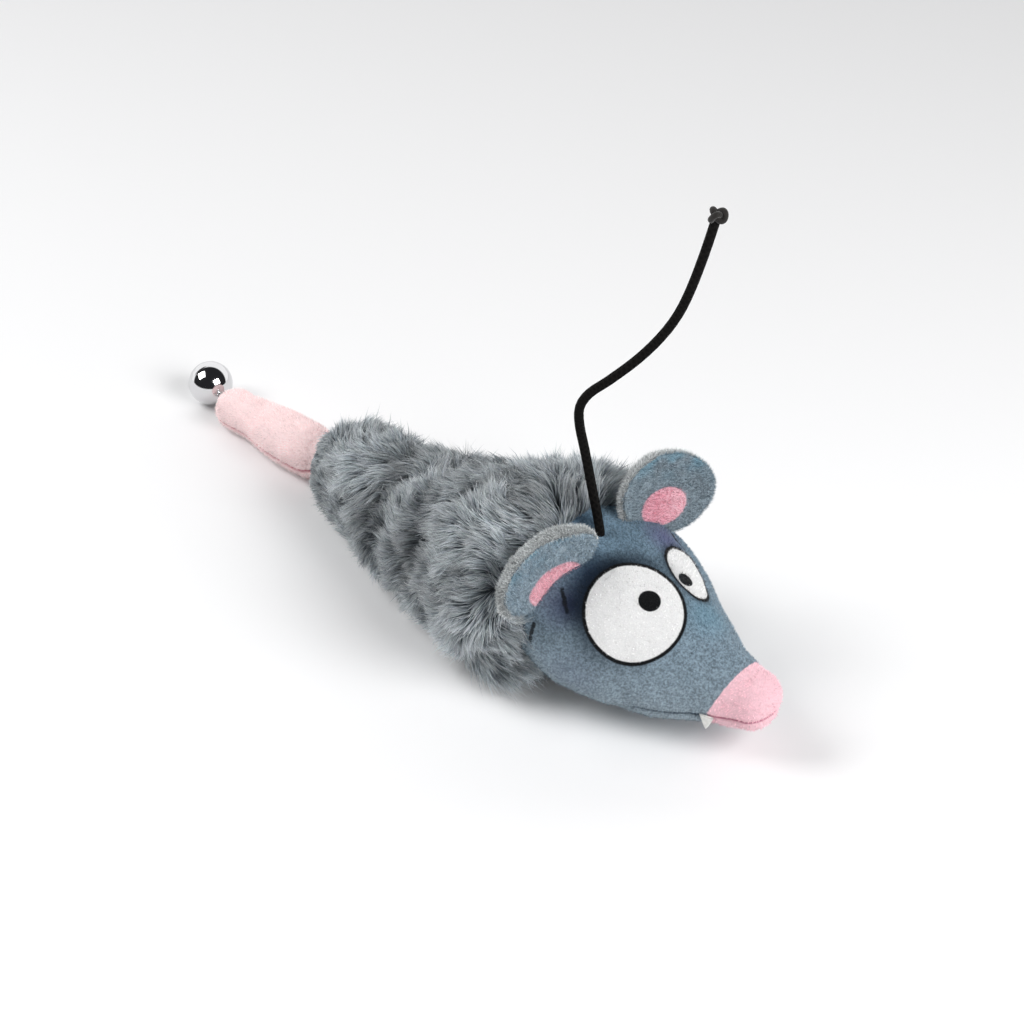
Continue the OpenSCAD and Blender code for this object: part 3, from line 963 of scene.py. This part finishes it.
def make_head():
    grid = sections_to_grid(head_sections(0.4, 12), 200)
    verts, faces, normals = surface(grid)
    lumps = 0.28 * waves(verts, 9, 81) + 0.12 * waves(verts, 4, 82)
    lumps *= np.clip((136 - verts[:, 0]) / 10, 0.2, 1)
    verts = verts + normals * lumps[:, None]
    cloth = head_print()
    halves = split_by_plane(verts, faces, SEAM_AT, SEAM_NORMAL)
    for (points, parts), name, node in zip(halves, ("head_panel", "chin_gusset"), ("head_top", "head_chin")):
        parts, n = outward(points, parts, [80, 0, 28])
        gap = np.abs((points - SEAM_AT) @ SEAM_NORMAL)
        points = points - n * (0.9 * np.exp(-((gap / 1.0) ** 2)))[:, None]
        piece = make_mesh(name, points, parts)
        finish_piece(piece, cloth, "head", [node])
        count = (46000 if node == "head_top" else 7000) // THIN
        pile_piece = fuzz(
            name + "_pile", points, parts, n, count, 0.9, 0.22, (-1, 0, -0.35), 83,
            keep=lambda p: p[:, 0] > 65,
        )
        finish_piece(pile_piece, cloth, "head")
    inner = sections_to_grid(head_sections(3.2, 5), 48)
    filling("head_filling", inner, "head", "head_stuffing")


make_head()

# ---- ears

EAR_HALF, EAR_TALL = 18.0, 13.5
# The last value of each bean entry scales that ear's whole print: painted light on the near right ear,
# painted shade on the far left one.
EARS = {
    "right": dict(
        base=[72.5, -20.5, 46], w=[-10, -30, -20], h=[0.5, -12.5, 20.8], side=-1, wrap=75, spread=95,
        bean=((0.5, 2.6), (9.8, 7.0), "#f3c6d0", 1.08),
    ),
    "left": dict(
        base=[76.5, 22, 48], w=[8.8, 33, -9.8], h=[-3, 8, 23], side=1, wrap=150, spread=62,
        bean=((-0.6, 6.4), (8.8, 6.2), "#e8b0be", 0.8),
    ),
}


def ear_frame(base, w, h, side, **_):
    """Origin and the directions outwards, up and forwards of an ear."""
    u = unit(w)
    n = unit(np.cross(w, h)) * side
    v = np.cross(n, u) * side
    return np.array(base, float), u, v, n


def ear_sheet(front, wrap, spread, rows=48, around=140):
    """A panel in ear coordinates: its outer and inner grids, and how near each point is to the seam.

    The rim is half round. The seam lies on its front at the angle wrap and on its edge opposite; spread says
    how far round the rim, in degrees, the back panel comes at wrap.
    """
    s = np.linspace(0, 1, rows)[:, None]
    a = circle(around)[None, :]
    turned = 0.5 + 0.5 * np.cos(a - math.radians(wrap))
    last = np.radians(-25 + spread * np.clip(turned * 1.5, 0, 1) ** 0.8)
    rim_r, rim_z = 0.88 + 0.12 * np.cos(last), -0.2 + 1.8 * np.sin(last)
    if front:
        rr = rim_r * np.sin(s * math.pi / 2)
        z = 0.55 + (rim_z - 0.55) * s**5 + 0.54 * np.sin(s**2 * math.pi) ** 2
        seam = np.exp(-(((s - 1) / 0.07) ** 2)) + 0 * a
    else:
        flat = np.minimum(s / 0.5, 1)
        roll = -math.pi / 2 + (last + math.pi / 2) * ramp(s, 0.5, 1)
        rr = np.where(s < 0.5, 0.88 * flat, 0.88 + 0.12 * np.cos(roll))
        z = np.where(s < 0.5, -2.6 + 0.6 * flat**2, -0.2 + 1.8 * np.sin(roll))
        seam = np.exp(-(((s - 1) / 0.05) ** 2)) + 0 * a
    z = z - 0.35 * seam
    x = EAR_HALF * rr * np.cos(a)
    y = 10.5 + EAR_TALL * rr * np.sin(a)
    cup = 0.0055 * x**2
    outer = np.stack([x, y, z + cup], -1)
    inner = np.stack([x * 0.97, 10.5 + (y - 10.5) * 0.97, 0.25 * z + cup], -1)[::-1]
    return outer, inner, seam


def make_ear(name, spec):
    base, u, v, n = ear_frame(**spec)
    to_row = lambda p: base + p[..., :1] * u + p[..., 1:2] * v + p[..., 2:] * n
    to_ear = lambda p: np.stack([(p - base) @ u, (p - base) @ v, (p - base) @ n], 1)
    grey = [srgb("#9a9ea0"), srgb("#f0f3f3")]
    for front in (True, False):
        label = f"ear_{name}_{'front' if front else 'back'}"
        outer, inner, seam = ear_sheet(front, spec["wrap"], spec["spread"])
        rows, around = outer.shape[:2]
        grid = np.concatenate([outer, inner])
        local, faces, normals = surface(grid)
        local = local + normals * (0.2 * waves(local, 5, 91 + front))[:, None]
        world = to_row(local)
        faces = [f[:, ::-1] for f in faces] if spec["side"] < 0 else faces
        if front:
            material = ear_print(label + "_cloth", *spec["bean"])
        else:
            material = plain_plush(label + "_cloth", "#b4b8b8", 0.6, 1.1, 0.7, 0.4, 0.2, "#44464a", 0.7)
        seam = np.concatenate([seam.ravel(), np.zeros(rows * around)])
        piece = make_mesh(label + "_panel", world, faces, local, seam)
        shown = grid_faces(rows, around)
        skin = world[: rows * around]
        n_skin = outward(skin, [shown], to_row(np.array([[0, 10.5, 0.0]])))[1]
        count = (9000 if front else 15000) // THIN
        pile_piece = fuzz(
            label + "_pile", skin, [shown], n_skin, count, 1.2 if front else 1.7, 0.2 if front else 0.24,
            v + 0.2 * u, 93 + front, fibre=None if front else grey, rest=to_ear,
        )
        fibre = material if front else strand_material(label + "_fibre", 0.1)
        for p, cloth in ((piece, material), (pile_piece, fibre)):
            dress(p, cloth)
            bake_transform(p)
        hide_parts(label)


for name, spec in EARS.items():
    make_ear(name, spec)

# ---- tooth and stitches


def make_tooth():
    """A small felt triangle, thicker in the middle, with a cut edge."""
    low, high = mm("tooth")
    centre = (low + high) / 2
    across = unit([math.cos(math.radians(15)), math.sin(math.radians(15)), 0])
    out = np.array([across[1], -across[0], 0])
    rows, cols = 14, 12
    v, u = np.meshgrid(np.linspace(0, 1, rows), np.linspace(-1, 1, cols), indexing="ij")
    half = 2.3 * (1 - v) ** 0.8 + 0.12
    height = high[2] - v * (high[2] - low[2])
    puff = 0.5 * np.sqrt(np.clip(1 - u**4, 0, 1)) * (1 - 0.5 * v)
    sheets = []
    for way in (1, -1):
        p = centre + (u * half)[..., None] * across + (way * puff)[..., None] * out
        p[..., 2] = height
        sheets.append(p.reshape(-1, 3))
    n = rows * cols
    one = grid_faces(rows, cols, wrap=False)
    last = n - cols
    edge = [*range(cols), *range(2 * cols - 1, n, cols)]
    edge += [*range(n - 2, last - 1, -1), *range(last - cols, -1, -cols)]
    rim = [[a, b, n + b, n + a] for a, b in zip(edge, edge[1:])]
    faces = np.vstack([one, one[:, ::-1] + n, np.array(rim)])
    verts = np.vstack(sheets)
    piece = make_mesh("felt_tooth", verts, faces)
    felt = plain_plush("white_felt", "#f2f2ee", 0.86, 1.0, 0.5, 0.3, 0.2)
    finish_piece(piece, felt, "head", ["tooth"])


def make_stitches():
    """White thread round the cord's exit: a few loose loops and two cut ends."""
    centre = middle_of("cord_stitches")
    thread = thread_material("white_thread", "#f1f1ee")
    t = np.linspace(0, math.tau * 1.9, 70)
    r = 2.0 + 0.25 * np.sin(2.3 * t)
    z = 0.35 * np.sin(3.1 * t) + 0.05 * t - 1.5 - 0.9 * np.cos(t - 0.3)
    ring = centre + np.stack([r * np.cos(t), r * np.sin(t), z], 1)
    piece = tube("cord_stitching", ring, 0.24, sides=8)
    finish_piece(piece, thread, "head", ["cord_stitches"])
    for name, a, b, sag in (
        ("thread_tuft_low", (-1.9, -1.6, -0.8), (-3.4, -4.2, -1.0), 0.8),
        ("thread_tuft_high", (-1.6, 0.8, -0.4), (-5.0, 2.6, 1.6), 0.7),
    ):
        s = np.linspace(0, 1, 12)[:, None]
        arch = UP * (4 * sag * s * (1 - s))
        route = centre + np.array(a) * (1 - s) + np.array(b) * s + arch
        finish_piece(tube(name, route, 0.27, sides=8), thread, "head")
    return thread


make_tooth()
THREAD = make_stitches()

# ---- tail

TAIL_HALF = 9.5
TAIL_KEYS = [
    [-65, 9.8, 0.8, 1], [-74, 9.8, 1.03, 0.96], [-88, 10.5, 1.03, 0.9],
    [-102, 11.8, 0.88, 0.88], [-114, 11.2, 0.8, 0.93],
]
TAIL_SEAM = math.radians(199)


def tail_sections(inset, steps):
    rows = []
    for i, (x, y, w, h) in enumerate(catmull(TAIL_KEYS, steps)):
        half = w * TAIL_HALF
        high = half * h
        settle = ramp(x, -65, -72)
        z = (TAIL_ROOT[2] - 1.5) * (1 - settle) + high * settle
        rows.append([x, y, z, half - inset, high - inset, high - inset])
    root = ball_sections(TAIL_ROOT, TAIL_HALF - inset, -80, 45, 14, -1)
    return np.vstack([root, rows, end_sections(rows[-1], 7.6 - inset, 12, -1)])


def make_tail():
    sections = tail_sections(0.3, 12)
    around = 140
    grid = sections_to_grid(sections, around, 0.15)
    a = circle(around)
    off = np.abs(np.angle(np.exp(1j * (a - TAIL_SEAM))))
    seam = np.tile(np.exp(-((off / 0.075) ** 2)), (len(sections), 1)).ravel()
    verts, faces, normals = surface(grid)
    pull = 0.55 * seam
    pull += 0.9 * near_spot(verts, [-110.5, 13.0, 12.8], 10)
    pucker = 0.12 * waves(verts * [2.2, 1, 1], 5, 101) + 0.18 * waves(verts, 9, 102)
    verts = verts + normals * (pucker - pull)[:, None]
    verts[:, 2] = np.maximum(verts[:, 2], 0.15)
    pink = plain_plush("pink_minky", "#ffe6e6", 0.95, 1.03, 0.45, 0.3, 0.15, "#c4566a", 0.9)
    piece = make_mesh("tail_sleeve", verts, faces, seam=seam)
    finish_piece(piece, pink, "tail", ["tail_cover"])
    middle = sections[::-1]

    def bare(p):
        """True for pile roots that show and that aren't on the seam."""
        y, z = (np.interp(p[:, 0], middle[:, 0], middle[:, k]) for k in (1, 2))
        turn = np.arctan2(p[:, 2] - z, p[:, 1] - y)
        return (p[:, 0] < -63) & (np.abs(np.angle(np.exp(1j * (turn - TAIL_SEAM)))) > 0.1)

    tones = [srgb("#fbd9da"), srgb("#fff6f5")]
    pile_piece = fuzz(
        "tail_pile", verts, faces, normals, 16000 // THIN, 1.1, 0.24, (-1, 0, -0.2), 103, 0.8,
        keep=bare, fibre=tones,
    )
    finish_piece(pile_piece, strand_material("pink_fibre", 0.15), "tail")
    filling("tail_filling", sections_to_grid(tail_sections(2.2, 5), 40, 1.6), "tail", "tail_stuffing")


def make_tail_stitch():
    """Thread wound round the bell's loop through the tail's tip."""
    low, high = mm("tail_stitch")
    t = np.linspace(0, 1, 90)
    turn = t * math.tau * 4
    route = np.stack([0.25 * np.cos(turn), 0.25 * np.sin(turn), (t - 0.5) * (high[2] - low[2])], 1)
    route = route + (low + high) / 2
    finish_piece(tube("tail_tip_stitch", route, 0.28, sides=8), THREAD, "tail", ["tail_stitch"])


make_tail()
make_tail_stitch()

# ---- bell


def make_bell():
    low, high = mm("bell_shell")
    centre = (low + high) / 2
    r = (high[2] - low[2]) / 2
    eye_centre = middle_of("bell_eyelet")
    axis = unit(unit(eye_centre - centre) * [1, 1, 0])
    side = unit(np.cross(UP, axis))
    top = np.cross(axis, side)
    steps, around = 96, 128
    t = np.linspace(0.02, math.pi - 0.02, steps)
    band = 0.05 * np.exp(-(((t - math.pi / 2) / 0.03) ** 2))
    a = circle(around)
    chrome = chrome_material()
    shells = []
    for rho in ((r - 0.1 + band)[:, None], (r - 0.7 + 0 * band)[:, None]):
        ring = np.cos(a)[None, :, None] * side + np.sin(a)[None, :, None] * top
        along = (rho * np.cos(t)[:, None])[..., None] * axis
        grid = centre + along + (rho * np.sin(t)[:, None])[..., None] * ring
        shells.append(grid.reshape(-1, 3))
    n = steps * around
    outer = grid_faces(steps, around, caps=True)
    flip = [f[:, ::-1] + n for f in outer]
    verts = np.vstack(shells)
    faces = [np.vstack([outer[0], flip[0]]), np.vstack([outer[1], outer[2], flip[1], flip[2]])]
    piece = make_mesh("bell", verts, faces)
    # crossed slots with round ends, on the side away from the tail
    half = r * 0.5
    cutters = []
    for k in (45, 135):
        d = side * math.cos(math.radians(k)) + top * math.sin(math.radians(k))
        x, z = Vector(d), Vector(-axis)
        turn = Matrix((x, z.cross(x), z)).transposed().to_4x4()
        bpy.ops.mesh.primitive_cube_add(size=1)
        box = bpy.context.object
        size = Matrix.Diagonal((2 * half * MM, 1.3 * MM, r * 1.3 * MM, 1))
        box.matrix_world = Matrix.Translation(Vector(centre - axis * r) * MM) @ turn @ size
        cutters.append(box)
        for way in (1, -1):
            bpy.ops.mesh.primitive_cylinder_add(vertices=32, radius=1.25 * MM, depth=r * 1.3 * MM)
            hole = bpy.context.object
            at = Vector(centre - axis * r + d * way * half) * MM
            hole.matrix_world = Matrix.Translation(at) @ turn
            cutters.append(hole)
    bpy.context.view_layer.objects.active = piece
    for c in cutters:
        m = piece.modifiers.new("cut", "BOOLEAN")
        m.object, m.operation, m.solver = c, "DIFFERENCE", "EXACT"
        bpy.ops.object.modifier_apply(modifier=m.name)
    for c in cutters:
        discard(c)
    piece.data.set_sharp_from_angle(angle=math.radians(35))
    finish_piece(piece, chrome, "bell", ["bell_shell"])

    t = circle(48)
    route = eye_centre - axis * 0.2 + 1.35 * (np.cos(t)[:, None] * axis + np.sin(t)[:, None] * UP)
    finish_piece(tube("bell_eye", route, 0.42, closed=True), chrome, "bell", ["bell_eyelet"])

    low, high = mm("bell_loop")
    loop_centre = (low + high) / 2
    t = circle(72)
    loop_r = (high[0] - low[0]) / 2 - 0.4
    for k, (dz, rr) in enumerate(((0.16, 0.26), (-0.18, 0.24))):
        wander = dz + 0.08 * np.sin(5 * t + k)
        route = loop_centre + np.stack([loop_r * np.cos(t), loop_r * np.sin(t), wander], 1)
        ring = tube(f"bell_thread_{k + 1}", route, rr, closed=True)
        finish_piece(ring, THREAD, "bell", ["bell_loop"])

    low, high = mm("bell_pellet")
    pellet_centre, pellet_r = (low + high) / 2, (high[0] - low[0]) / 2
    t = np.linspace(0.05, math.pi - 0.05, 24)
    a = circle(32)
    tall = t[:, None]
    ball = np.stack([np.sin(tall) * np.cos(a), np.sin(tall) * np.sin(a), np.cos(tall) + 0 * a], -1)
    lump = 1 + 0.02 * waves(ball.reshape(-1, 3) * 6, 3, 111).reshape(ball.shape[:2])[..., None]
    grid = pellet_centre + ball * lump * pellet_r * 0.98
    verts, faces, _ = surface(grid)
    pellet = make_mesh("bell_ball", verts, faces)
    finish_piece(pellet, chrome, "pellet", ["bell_pellet"])


make_bell()
